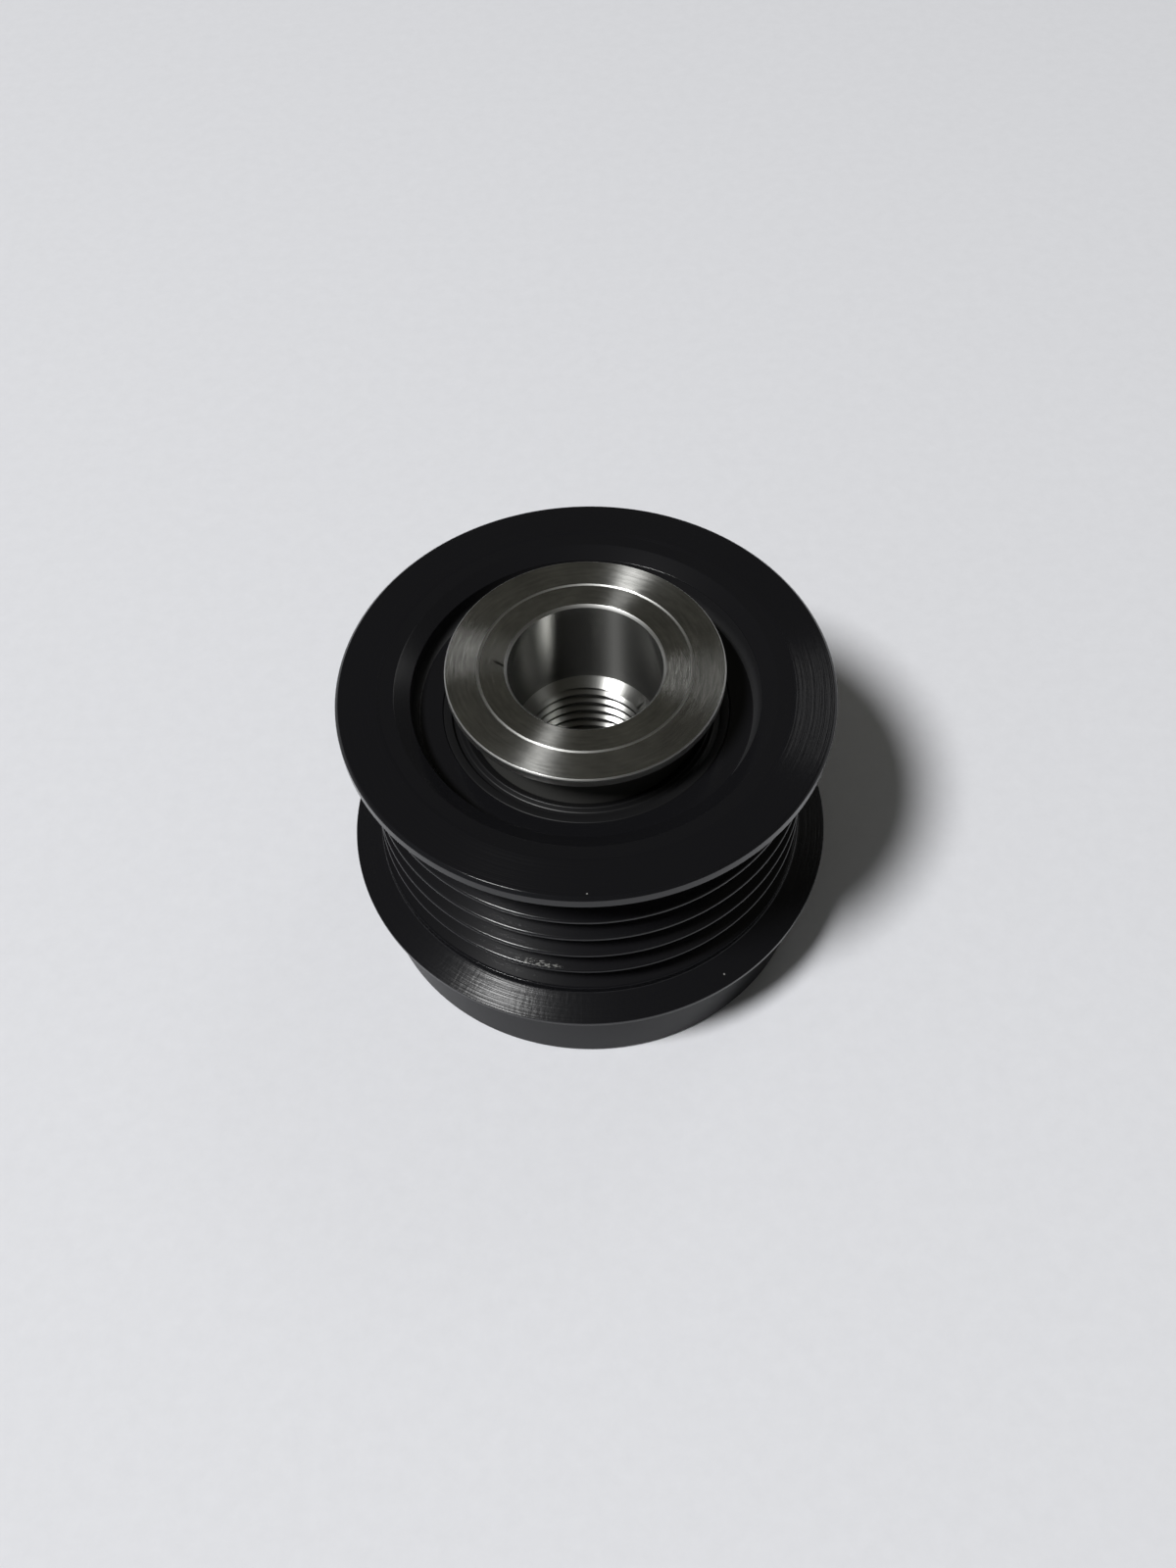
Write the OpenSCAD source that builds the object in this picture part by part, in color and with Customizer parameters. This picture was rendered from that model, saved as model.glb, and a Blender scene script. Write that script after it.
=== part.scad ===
// Overrunning alternator pulley: a ribbed outer ring that turns freely one way round a threaded hub.
// The axis is Z. The foot of the nose stands on Z = 0 and the alternator side faces up.

/* [Outer ring] */
// Length of the outer ring, from the foot of the nose to the rear face
ring_len = 36.8; // [35:0.1:42]
// Diameter of the rear flange
rear_flange_d = 55.2; // [54:0.1:60]
// Width of the rear flange's cylindrical rim
rear_rim_w = 1.46; // [1.2:0.02:1.6]
// Chamfer on the edge of the rear flange
rear_edge = 0.35; // [0.1:0.05:0.4]
// Diameter of the front flange
front_flange_d = 57; // [55:0.1:60]
// Width of the front flange's rim
front_rim_w = 0.5; // [0.3:0.05:1]
// Height of the cone behind the front flange
flange_back_h = 0.7; // [0.3:0.1:1.5]
// Diameter of the nose below the front flange
nose_d = 52.4; // [51:0.1:53.5]
// Chamfer on the foot of the nose
nose_edge = 0.5; // [0.2:0.05:1]

/* [Belt ribs] */
// Distance from one groove to the next
rib_pitch = 3.56; // [3.4:0.02:3.7]
// Number of belt grooves
groove_count = 6; // [4:1:7]
// Angle between the two flanks of a groove
groove_angle = 40; // [36:1:44]
// Diameter over the rib crests
crest_d = 50; // [49:0.02:52]
// Width of the flat on each crest
crest_flat = 0.85; // [0.6:0.05:1.1]
// Depth of a groove below the crests
groove_depth = 2.6; // [2.2:0.02:2.9]
// Distance from the rear face to the middle of the first groove
first_groove_inset = 3.78; // [3.6:0.02:4.2]
// Diameter of the plain land after the last groove
land_d = 50.4; // [49.4:0.02:52]
// Width of that land
land_w = 1.16; // [1:0.02:3]
// Slope of the front flange's inner face, from flat
flange_slope = 20; // [10:1:30]

/* [Rear face] */
// Diameter of the recess round the hub
recess_d = 38.8; // [37.6:0.1:40]
// Depth of the recess
recess_depth = 3.4; // [3:0.1:4]
// Radius between the wall and the floor of the recess
recess_fillet = 1.5; // [0.5:0.1:1.8]
// Width of the dip from the rear face into the recess
recess_dip_w = 1.8; // [1.2:0.1:2]
// Slope of that dip, from flat
recess_dip_slope = 25; // [15:1:28]
// Inner diameter of the turned land on the rear face
face_land_d = 45.5; // [44.4:0.1:50]
// Height of the turned land above the face inside it
face_land_h = 0.08; // [0.04:0.01:0.2]
// Diameter of the hole that holds the rear seal
rear_seal_hole_d = 32; // [31:0.1:33.6]

/* [Front cavity] */
// Inner diameter of the nose
cavity_d = 45.2; // [42:0.1:47]
// Depth of the cap groove in the nose wall
cap_groove_depth = 0.5; // [0.3:0.05:0.8]
// Width of the cap groove
cap_groove_w = 1.2; // [0.8:0.1:1.6]
// Distance from the foot to the cap groove
cap_groove_z = 1.4; // [1:0.1:2]

/* [Hub] */
// Height of the hub's clamp face above the rear face
hub_stand = 3.38; // [2.8:0.02:4]
// Diameter of the hub disc
disc_d = 30.6; // [29:0.1:33]
// Thickness of the hub disc
disc_t = 1.28; // [1:0.02:1.6]
// Chamfer on the rim of the hub disc
disc_edge = 0.15; // [0.05:0.05:0.3]
// Diameter of the neck that the rear seal runs on
neck_d = 26; // [25.4:0.1:27]
// Diameter of the shaft inside the races
shaft_d = 24; // [23.4:0.1:24.6]
// Diameter of the pilot bore for the alternator shaft
pilot_d = 17; // [16.6:0.1:17.6]
// Depth of the pilot bore from the clamp face
pilot_depth = 12.2; // [10:0.1:14]
// Chamfer at the mouth of the pilot bore
pilot_edge = 0.3; // [0.1:0.05:0.6]
// Diameter of the threaded bore, over the roots of its thread
thread_d = 16; // [15:0.1:16.4]
// Slope of the cone that leads from the pilot bore into the thread, from flat
thread_entry_slope = 36; // [30:1:45]
// Diameter of the line turned into the clamp face
face_line_d = 23.36; // [21:0.02:26]
// Width of that line
face_line_w = 0.3; // [0.1:0.05:0.5]
// Depth of that line
face_line_depth = 0.15; // [0.05:0.05:0.3]
// How far the hub's front end stands out of the front seal
hub_reach = 1; // [0.6:0.1:1.2]
// Chamfer on the hub's front end
hub_edge = 0.5; // [0.2:0.1:0.8]

/* [Drive serration] */
// Number of teeth in the hub's front end
serration_teeth = 33; // [24:1:40]
// Diameter inside the teeth
serration_tip_d = 18; // [17.4:0.1:18.6]
// Diameter at the bottom of the teeth
serration_root_d = 19.6; // [19:0.1:20.2]
// Length of the teeth
serration_len = 7; // [5:0.5:8]
// Width of the groove at the end of the teeth
runout_w = 1; // [0.6:0.1:1.5]
// Depth of that groove below the bottom of the teeth
runout_depth = 0.15; // [0.1:0.05:0.3]

/* [Races and rollers] */
// Wall of the inner races
inner_race_t = 1; // [0.8:0.05:1.2]
// Inner diameter of the outer sleeve, which all the rollers run in
track_d = 32; // [31.6:0.1:32.4]
// Wall of the outer sleeve
sleeve_t = 1.2; // [1:0.05:1.5]
// Length of each support race
support_len = 6; // [5:0.1:6.4]
// Number of rollers in each support bearing
support_count = 14; // [10:1:16]
// Thickness of the cages
cage_t = 1.8; // [1.4:0.1:2]
// Width of a cage's end rims
cage_rim_w = 0.65; // [0.5:0.05:0.8]

/* [One-way clutch] */
// Length of the clutch's ramp ring
clutch_len = 8.4; // [7.5:0.1:8.6]
// Number of clutch rollers, each with its own ramp and spring
clutch_count = 10; // [8:1:12]
// Wedge angle between a ramp and the track
wedge_angle = 7.5; // [5:0.5:9]
// Length of a ramp behind its roller, under the spring
ramp_back = 2.6; // [2:0.1:3]
// Length of a ramp ahead of its roller
ramp_ahead = 1.2; // [0.8:0.1:1.4]
// Depth of the plain land between ramps, below the support races
ramp_land_depth = 0.15; // [0.1:0.05:0.3]
// Angle between the end of a ramp and the plain land beside it
ramp_end_turn = 1; // [0.5:0.1:2]
// Free travel of a roller ahead of its place
roller_travel = 0.3; // [0.2:0.05:0.5]
// Thickness of a spring leaf
leaf_t = 0.15; // [0.1:0.01:0.2]
// Length of a spring along the track
spring_len = 2.1; // [1.6:0.1:2.2]
// Height of a spring across the track
spring_h = 1.5; // [1.2:0.1:1.8]
// Number of legs that a spring is folded into
spring_legs = 4; // [3:1:4]

/* [Seals and retainers] */
// Width of each seal
seal_w = 2.4; // [2:0.1:2.5]
// Thickness of a seal's metal case
case_t = 0.45; // [0.3:0.05:0.6]
// Width of the case's flat lip
case_lip = 0.95; // [0.7:0.05:1.1]
// Drop of the rubber below the top of the case
rubber_drop = 0.45; // [0.3:0.05:0.6]
// Height of the edge that runs on the shaft
lip_edge_h = 0.35; // [0.2:0.05:0.5]
// Width of the flat on top of the rubber bead beside it
bead_flat = 0.18; // [0.1:0.02:0.3]
// Thickness of the thrust washers
washer_t = 1; // [0.8:0.1:1]
// Thickness of the hub's retaining ring
clip_t = 1.1; // [0.9:0.1:1.1]
// Depth of the groove that holds it
clip_groove_depth = 0.7; // [0.5:0.05:0.8]
// Width of the retaining ring, measured along a radius
clip_w = 2.1; // [1.8:0.1:2.4]
// Angle of the opening between the ends of the retaining ring
clip_opening = 50; // [40:1:70]
// Diameter of the lugs at those ends
clip_lug_d = 2.6; // [2.2:0.1:3]
// Diameter of the plier holes in the lugs
clip_hole_d = 1; // [0.8:0.1:1.2]
// Angle from an end of the ring to the middle of its lug
clip_lug_turn = 6; // [5:1:8]

/* [Fits] */
// Gap at a pressed or bonded seat
seat_gap = 0.01; // [0.005:0.005:0.02]
// Gap between a track and what rolls or turns on it
run_gap = 0.05; // [0.03:0.01:0.08]
// Gap along the axis between neighbours that turn apart
end_gap = 0.1; // [0.05:0.01:0.1]
// Gap between a seal's edge and the surface that it runs on
lip_gap = 0.08; // [0.05:0.01:0.12]

/* [Hidden] */
$fn = 96;
// Facets on a roller
roller_fn = 32;
// Straight steps in a rounded corner, and in a bend of a spring or a land
corner_steps = 6;
bend_steps = 4;
// How far a cut runs past what it cuts
past = 1;
// Half the width of a tooth space's floor, as a share of the tooth pitch
tooth_floor = 0.08;
// How far the tooth spaces reach into the bore inside them
tooth_overlap = 0.4;

black_steel = "#1c1c1e";
turned_steel = "#b9bab6";
hardened_steel = "#8f9294";
phosphated_steel = "#4a4a4c";
nitrile_rubber = "#232323";
glass_filled_nylon = "#3b3328";
spring_steel = "#a89a78";
bronze = "#8c6a3c";

// Places along the axis, from the rear face down to the foot
rear_z = ring_len;
hub_top_z = rear_z + hub_stand;
floor_z = rear_z - recess_depth;
rear_seal_z = floor_z - end_gap - seal_w;
web_z = rear_seal_z;
rear_washer_z = web_z - end_gap - washer_t;
rear_race_z = rear_washer_z - support_len;
clutch_z = rear_race_z - clutch_len;
front_race_z = clutch_z - support_len;
sleeve_top_z = web_z - seat_gap;
sleeve_end_z = front_race_z - end_gap;
front_washer_z = sleeve_end_z - seat_gap - washer_t;
clip_z = front_washer_z - end_gap - clip_t;
front_seal_z = clip_z - end_gap - seal_w;
cavity_z = front_seal_z - end_gap;
hub_end_z = front_seal_z - hub_reach;

// Radii that neighbours share
nose_r = nose_d / 2;
cavity_r = cavity_d / 2;
recess_r = recess_d / 2;
seal_hole_r = rear_seal_hole_d / 2;
disc_r = disc_d / 2;
neck_r = neck_d / 2;
shaft_r = shaft_d / 2;
pilot_r = pilot_d / 2;
thread_r = thread_d / 2;
tip_r = serration_tip_d / 2;
tooth_root_r = serration_root_d / 2;
runout_r = tooth_root_r + runout_depth;
race_r = shaft_r + inner_race_t;
track_r = track_d / 2;
sleeve_r = track_r + sleeve_t;
bore_r = sleeve_r + seat_gap;
pitch_r = (race_r + track_r) / 2;
roller_r = (track_r - race_r) / 2 - run_gap;
cage_in_r = pitch_r - cage_t / 2;
cage_out_r = pitch_r + cage_t / 2;
clip_groove_r = shaft_r - clip_groove_depth;
clip_in_r = clip_groove_r + seat_gap;

// The groove's section, and the places of the last groove and the front flange
crest_r = crest_d / 2;
root_r = crest_r - groove_depth;
groove_mouth = rib_pitch - crest_flat;
groove_root_w = groove_mouth - 2 * groove_depth * tan(groove_angle / 2);
first_groove_z = rear_z - first_groove_inset;
last_groove_z = first_groove_z - (groove_count - 1) * rib_pitch;
land_end_z = last_groove_z - groove_mouth / 2 - land_w;
flange_top_z = land_end_z - (front_flange_d - land_d) / 2 * tan(flange_slope);
flange_low_z = flange_top_z - front_rim_w;

// Points of an arc about a centre, from angle a0 to angle a1
function arc(centre, r, a0, a1, steps) =
    [for (i = [0 : steps]) let (a = a0 + (a1 - a0) * i / steps) centre + r * [cos(a), sin(a)]];

// The outline of a strip of thickness t that follows the points p
function across(p, i) =
    let (d = p[min(i + 1, len(p) - 1)] - p[max(i - 1, 0)]) [-d[1], d[0]] / norm(d);
function strip(p, t) = concat(
    [for (i = [0 : len(p) - 1]) p[i] + across(p, i) * t / 2],
    [for (i = [len(p) - 1 : -1 : 0]) p[i] - across(p, i) * t / 2]);

// One belt groove in section, from its rear flank to its front flank
function groove(z) = [
    [crest_r, z + groove_mouth / 2],
    [root_r, z + groove_root_w / 2],
    [root_r, z - groove_root_w / 2],
    [crest_r, z - groove_mouth / 2]];

// Children repeated n times round the axis
module round_axis(n) {
    for (i = [0 : n - 1])
        rotate(i * 360 / n)
            children();
}

module tube(r_in, r_out, z, h) {
    rotate_extrude()
        translate([r_in, z])
            square([r_out - r_in, h]);
}

module outer_ring() {
    rear_r = rear_flange_d / 2;
    flange_r = front_flange_d / 2;
    face_z = rear_z - face_land_h;
    land_r = face_land_d / 2;
    groove_r = cavity_r + cap_groove_depth;
    mouth_z = face_z - recess_dip_w * tan(recess_dip_slope);
    face = [
        [recess_r + recess_dip_w, face_z],
        [land_r, face_z],
        [land_r + face_land_h, rear_z],
        [rear_r - rear_edge, rear_z],
        [rear_r, rear_z - rear_edge],
        [rear_r, rear_z - rear_rim_w]];
    belt_run = [for (i = [0 : groove_count - 1]) each groove(first_groove_z - i * rib_pitch)];
    nose = [
        [land_d / 2, last_groove_z - groove_mouth / 2],
        [land_d / 2, land_end_z],
        [flange_r, flange_top_z],
        [flange_r, flange_low_z],
        [nose_r, flange_low_z - flange_back_h],
        [nose_r, nose_edge],
        [nose_r - nose_edge, 0],
        [cavity_r + nose_edge, 0],
        [cavity_r, nose_edge],
        [cavity_r, cap_groove_z],
        [groove_r, cap_groove_z],
        [groove_r, cap_groove_z + cap_groove_w],
        [cavity_r, cap_groove_z + cap_groove_w],
        [cavity_r, cavity_z]];
    bore = [
        [bore_r, cavity_z],
        [bore_r, web_z],
        [seal_hole_r, web_z],
        [seal_hole_r, floor_z]];
    fillet_centre = [recess_r - recess_fillet, floor_z + recess_fillet];
    recess = concat(arc(fillet_centre, recess_fillet, -90, 0, corner_steps), [[recess_r, mouth_z]]);
    color(black_steel)
        rotate_extrude()
            polygon(concat(face, belt_run, nose, bore, recess));
}

module outer_sleeve() {
    color(hardened_steel)
        tube(track_r, sleeve_r, sleeve_end_z, sleeve_top_z - sleeve_end_z);
}

// A seal's metal case: a rim in the housing and a flat lip on its outer side
module seal_case(hole_r) {
    out_r = hole_r - seat_gap;
    color(phosphated_steel)
        rotate_extrude()
            polygon([
                [out_r - case_t, 0],
                [out_r, 0],
                [out_r, seal_w],
                [out_r - case_lip, seal_w],
                [out_r - case_lip, seal_w - case_t],
                [out_r - case_t, seal_w - case_t]]);
}

// A seal's rubber, bonded inside its case, with an edge that runs on a shaft
module seal_lip(hole_r, run_r) {
    back_r = hole_r - 2 * seat_gap - case_t;
    front_r = hole_r - 2 * seat_gap - case_lip;
    bead_r = (run_r + front_r) / 2;
    edge_r = run_r + lip_gap;
    edge_z = seal_w - 2 * lip_edge_h;
    under_z = seal_w - case_t - seat_gap;
    top_z = seal_w - rubber_drop;
    color(nitrile_rubber)
        rotate_extrude()
            polygon([
                [bead_r, 0],
                [back_r, 0],
                [back_r, under_z],
                [front_r, under_z],
                [front_r, top_z],
                [bead_r + lip_edge_h, top_z],
                [bead_r, seal_w],
                [bead_r - bead_flat, seal_w],
                [edge_r, edge_z + lip_edge_h / 2],
                [edge_r, edge_z - lip_edge_h / 2],
                [bead_r, edge_z - 2 * lip_edge_h]]);
}

module rear_seal_case() {
    translate([0, 0, rear_seal_z])
        seal_case(seal_hole_r);
}

module rear_seal_lip() {
    translate([0, 0, rear_seal_z])
        seal_lip(seal_hole_r, neck_r);
}

module front_seal_case() {
    translate([0, 0, front_seal_z + seal_w])
        mirror([0, 0, 1])
            seal_case(bore_r);
}

module front_seal_lip() {
    translate([0, 0, front_seal_z + seal_w])
        mirror([0, 0, 1])
            seal_lip(bore_r, shaft_r);
}

module front_thrust_washer() {
    color(bronze)
        tube(shaft_r + 2 * end_gap, sleeve_r, front_washer_z, washer_t);
}

module rear_thrust_washer() {
    color(bronze)
        tube(shaft_r + seat_gap, track_r - end_gap, rear_washer_z + seat_gap, washer_t - seat_gap);
}

// The drive serration's tooth spaces, joined by a core that is narrower than the bore between them
module serration_hole() {
    step = 360 / serration_teeth;
    core_r = tip_r - tooth_overlap;
    polygon([for (i = [0 : serration_teeth - 1]) each [
        core_r * [cos((i - 0.5) * step), sin((i - 0.5) * step)],
        tooth_root_r * [cos((i - tooth_floor) * step), sin((i - tooth_floor) * step)],
        tooth_root_r * [cos((i + tooth_floor) * step), sin((i + tooth_floor) * step)]]]);
}

module hub() {
    disc_z = hub_top_z - disc_t;
    shoulder_z = rear_washer_z + washer_t + seat_gap;
    teeth_end_z = hub_end_z + serration_len;
    cone_z = teeth_end_z + runout_w;
    step_z = hub_top_z - pilot_depth;
    line_r = face_line_d / 2;
    lead_r = tooth_root_r + hub_edge / 2;
    outside = [
        [line_r - face_line_w / 2, hub_top_z],
        [line_r, hub_top_z - face_line_depth],
        [line_r + face_line_w / 2, hub_top_z],
        [disc_r - disc_edge, hub_top_z],
        [disc_r, hub_top_z - disc_edge],
        [disc_r, disc_z + disc_edge],
        [disc_r - disc_edge, disc_z],
        [neck_r, disc_z],
        [neck_r, shoulder_z],
        [shaft_r, shoulder_z],
        [shaft_r, clip_z + clip_t + seat_gap],
        [clip_groove_r, clip_z + clip_t + seat_gap],
        [clip_groove_r, clip_z - seat_gap],
        [shaft_r, clip_z - seat_gap],
        [shaft_r, hub_end_z + hub_edge],
        [shaft_r - hub_edge, hub_end_z]];
    inside = [
        [lead_r, hub_end_z],
        [tip_r, hub_end_z + lead_r - tip_r],
        [tip_r, teeth_end_z],
        [runout_r, teeth_end_z],
        [runout_r, cone_z],
        [thread_r, cone_z + runout_r - thread_r],
        [thread_r, step_z - (pilot_r - thread_r) * tan(thread_entry_slope)],
        [pilot_r, step_z],
        [pilot_r, hub_top_z - pilot_edge],
        [pilot_r + pilot_edge, hub_top_z]];
    color(turned_steel)
        difference() {
            rotate_extrude()
                polygon(concat(outside, inside));
            translate([0, 0, hub_end_z - past])
                linear_extrude(past + serration_len + runout_w / 2)
                    serration_hole();
        }
}

// A plain inner race, pressed on the shaft
module inner_race(z) {
    color(hardened_steel)
        tube(shaft_r + seat_gap, race_r, z + seat_gap, support_len - seat_gap);
}

module rear_inner_race() {
    inner_race(rear_race_z);
}

module front_inner_race() {
    inner_race(front_race_z);
}

// Outline of the ramp ring: flat ramps that rise towards the track, with plain lands between them
function ramp_point(a, t) =
    let (out = [cos(a), sin(a)], along = [-sin(a), cos(a)],
        normal = cos(wedge_angle) * out - sin(wedge_angle) * along,
        rise = cos(wedge_angle) * along + sin(wedge_angle) * out)
    pitch_r * out - (roller_r + run_gap) * normal + t * rise;
function bearing_of(p) = atan2(p[1], p[0]);
function ramp_sector(a) =
    let (land_r = race_r - ramp_land_depth,
        step = 360 / clutch_count,
        low = ramp_point(0, -ramp_back),
        high = ramp_point(0, ramp_ahead))
    concat([ramp_point(a, -ramp_back), ramp_point(a, ramp_ahead)],
        arc([0, 0], land_r, a + bearing_of(high) + ramp_end_turn,
            a + step + bearing_of(low) - ramp_end_turn, bend_steps));

module clutch_ramp_ring() {
    step = 360 / clutch_count;
    color(hardened_steel)
        translate([0, 0, clutch_z + seat_gap])
            difference() {
                linear_extrude(clutch_len - seat_gap)
                    polygon([for (i = [0 : clutch_count - 1]) each ramp_sector(i * step)]);
                translate([0, 0, -past])
                    cylinder(h = clutch_len + 2 * past, r = shaft_r + seat_gap);
            }
}

// A cage with n windows; a window reaches ahead and back from the middle of its roller
module cage(z, h, n, ahead, back) {
    difference() {
        tube(cage_in_r, cage_out_r, z, h);
        round_axis(n)
            translate([cage_in_r - past, -back, z + cage_rim_w])
                cube([cage_t + 2 * past, back + ahead, h - 2 * cage_rim_w]);
    }
}

module rollers(z, h, n) {
    round_axis(n)
        translate([pitch_r, 0, z])
            cylinder(h = h, r = roller_r, $fn = roller_fn);
}

module clutch_cage() {
    ahead = roller_r + roller_travel;
    back = roller_r + run_gap + spring_len + run_gap;
    color(glass_filled_nylon)
        cage(clutch_z + end_gap, clutch_len - 2 * end_gap, clutch_count, ahead, back);
}

module clutch_rollers() {
    inset = end_gap + cage_rim_w + run_gap;
    color(hardened_steel)
        rollers(clutch_z + inset, clutch_len - 2 * inset, clutch_count);
}

// Centre line of a folded leaf: straight legs along X, joined by half-round bends, stepping down Y
function folds(legs, h, start) =
    let (step = (spring_len - leaf_t) / (legs - 1), bend = step / 2, reach = h / 2 - bend)
    concat([[-reach, start]],
        [for (i = [0 : legs - 2]) let (side = i % 2 == 0 ? 1 : -1)
            each arc([side * reach, start - (i + 0.5) * step], bend, 90, 90 - side * 180, bend_steps)],
        [[legs % 2 == 0 ? -reach : reach, start - (legs - 1) * step]]);

// Folded leaf springs, one behind each clutch roller
module clutch_springs() {
    inset = end_gap + cage_rim_w + 2 * run_gap;
    start = -(roller_r + run_gap + leaf_t / 2);
    color(spring_steel)
        round_axis(clutch_count)
            translate([pitch_r, 0, clutch_z + inset])
                linear_extrude(clutch_len - 2 * inset)
                    polygon(strip(folds(spring_legs, spring_h - leaf_t, start), leaf_t));
}

// A disc of radius r at each end of the retaining ring
module at_clip_ends(h, r) {
    for (side = [-1, 1])
        rotate(side * (clip_opening / 2 + clip_lug_turn))
            translate([clip_in_r + clip_w - clip_lug_d / 4, 0])
                cylinder(h = h, r = r, $fn = roller_fn);
}

module hub_retaining_ring() {
    far = 2 * (clip_in_r + clip_w);
    half = clip_opening / 2;
    color(spring_steel)
        translate([0, 0, clip_z])
            difference() {
                union() {
                    cylinder(h = clip_t, r = clip_in_r + clip_w);
                    at_clip_ends(clip_t, clip_lug_d / 2);
                }
                translate([0, 0, -past]) {
                    cylinder(h = clip_t + 2 * past, r = clip_in_r);
                    linear_extrude(clip_t + 2 * past)
                        polygon([
                            [0, 0],
                            far * [cos(half), sin(half)],
                            [far, 0],
                            far * [cos(half), -sin(half)]]);
                    at_clip_ends(clip_t + 2 * past, clip_hole_d / 2);
                }
            }
}

// A support bearing's cage, with one window to a roller
module support_cage(race_z) {
    reach = roller_r + run_gap;
    color(glass_filled_nylon)
        cage(race_z + end_gap, support_len - 2 * end_gap, support_count, reach, reach);
}

module support_rollers(race_z) {
    inset = end_gap + cage_rim_w + run_gap;
    color(hardened_steel)
        rollers(race_z + inset, support_len - 2 * inset, support_count);
}

module rear_roller_cage() {
    support_cage(rear_race_z);
}

module rear_rollers() {
    support_rollers(rear_race_z);
}

module front_roller_cage() {
    support_cage(front_race_z);
}

module front_rollers() {
    support_rollers(front_race_z);
}

outer_ring();
outer_sleeve();
rear_seal_case();
rear_seal_lip();
front_seal_case();
front_seal_lip();
front_thrust_washer();
hub();
rear_inner_race();
clutch_ramp_ring();
front_inner_race();
clutch_cage();
clutch_rollers();
clutch_springs();
rear_thrust_washer();
hub_retaining_ring();
rear_roller_cage();
rear_rollers();
front_roller_cage();
front_rollers();
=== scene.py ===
"""Looks of an overrunning alternator pulley, built on its packed solids.

The pulley stands on its nose with the alternator side up. Its axis is Z and its foot is at Z = 0.
"""

import math

import bpy
from bpy.props import FloatProperty, FloatVectorProperty, IntProperty, PointerProperty
from bpy.types import Operator, Panel, PropertyGroup
from mathutils import Matrix, Vector


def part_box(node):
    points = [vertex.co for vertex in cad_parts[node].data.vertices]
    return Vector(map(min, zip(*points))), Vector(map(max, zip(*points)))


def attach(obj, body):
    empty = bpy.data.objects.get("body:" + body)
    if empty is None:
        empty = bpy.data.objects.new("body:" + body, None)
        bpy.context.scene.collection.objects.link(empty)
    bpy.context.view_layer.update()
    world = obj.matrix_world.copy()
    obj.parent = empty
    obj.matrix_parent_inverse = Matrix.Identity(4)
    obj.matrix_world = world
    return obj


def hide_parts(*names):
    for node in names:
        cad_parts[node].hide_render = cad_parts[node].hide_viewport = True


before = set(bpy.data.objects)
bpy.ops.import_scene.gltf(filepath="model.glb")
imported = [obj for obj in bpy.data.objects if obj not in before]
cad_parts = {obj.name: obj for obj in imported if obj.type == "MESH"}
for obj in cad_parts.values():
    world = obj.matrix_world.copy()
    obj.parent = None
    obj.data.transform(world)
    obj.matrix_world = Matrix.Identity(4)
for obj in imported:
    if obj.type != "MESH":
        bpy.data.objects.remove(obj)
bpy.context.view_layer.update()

bl_info = {
    "name": "Overrunning Alternator Pulley",
    "version": (1, 0, 0),
    "blender": (4, 5, 0),
    "location": "View3D > Sidebar > Pulley",
    "description": "Builds the turned steel, rubber and bearings of an overrunning alternator pulley",
    "category": "Object",
}

MM = 0.001
# Points closer than this are one point
WELD = 0.0005 * MM
# Facets round a turned piece
TURN_STEPS = 240
# Facets in one turn of the thread
THREAD_STEPS = 120
# Turn of one facet round a rounded corner
CORNER_STEP = math.radians(16)
# Rounding of a rib's crest and of a groove's bottom
CREST_ROUND = 0.3 * MM
ROOT_ROUND = 0.25 * MM
# Faces that meet at less than this are shaded as one surface
SMOOTH_ANGLE = math.radians(42)

# Depth to which a ridge or a tooth is sunk into the wall that carries it
SUNK = 0.05 * MM
# Half a drive tooth's width at its foot and at its tip, as shares of the pitch
TOOTH_FOOT = 0.42
TOOTH_TIP = 0.14

# A quarter turn lays a highlight across the rings
ACROSS_RINGS = 0.25
# Distance between turning marks, in millimetres. Real ones are 0.27 on the ring and 0.05 on the hub, where
# they are drawn coarser so that they show. The ground lines are drawn coarser for the same reason.
COAT_FEED = 0.27
HUB_FEED = 0.25
GROUND_FEED = 0.06
# Short scratches and the hatch: their width in millimetres and their number to a radian
COAT_SCRATCHES = (0.2, 9)
COAT_HATCH = (0.6, 60)
SCUFF_SCRATCHES = (0.12, 60)
FACE_SCRATCHES = (0.3, 5)
# Depth of the clamp face's rings and scratches, and width of its clouds, in millimetres
FACE_MARK_DEPTH = 0.002
FACE_SCRATCH_DEPTH = 0.024
FACE_CLOUD = 3.5
# Slope of the clamp face's rings outside and inside the line turned into it, and their roughness
OUTER_LEAN = 0.09
INNER_LEAN = 0.01
OUTER_ROUGH = 0.24
INNER_ROUGH = 0.19
# Marks of use, each as its place, its direction, its span and its width in millimetres
RIB_SCUFF = ((-6.31, -23.72, 17.38), (0.966, -0.257, 0.0), 6.2, 0.9)
EDGE_SPECK = ((-0.53, -26.86, 36.8), (1.0, 0.0, 0.0), 0.24, 0.2)
CONE_SPECK = ((14.76, -22.94, 11.94), (1.0, 0.0, 0.0), 0.26, 0.26)
HUB_SCRATCH = ((-9.24, 0.55, 40.18), (0.826, -0.564, 0.0), 2.2, 0.42)

# Side of the floor in metres, and the mottles of its paper to a metre
FLOOR_SIDE = 3.0
MOTTLES = 450.0
# Rises between which the backdrop fades into the room
BACKDROP_FADE = (0.04, 0.22)
# Directions from the pulley to the two lamps and to the bright wall
KEY_SIDE = (-0.403, -0.318, 0.858)
WINDOW_SIDE = (0.395, 0.544, 0.741)
GLOW_SIDE = (-0.627, -0.526, 0.574)
# Angle from the middle of the bright wall to where it ends
GLOW_REACH = math.radians(38)
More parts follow.
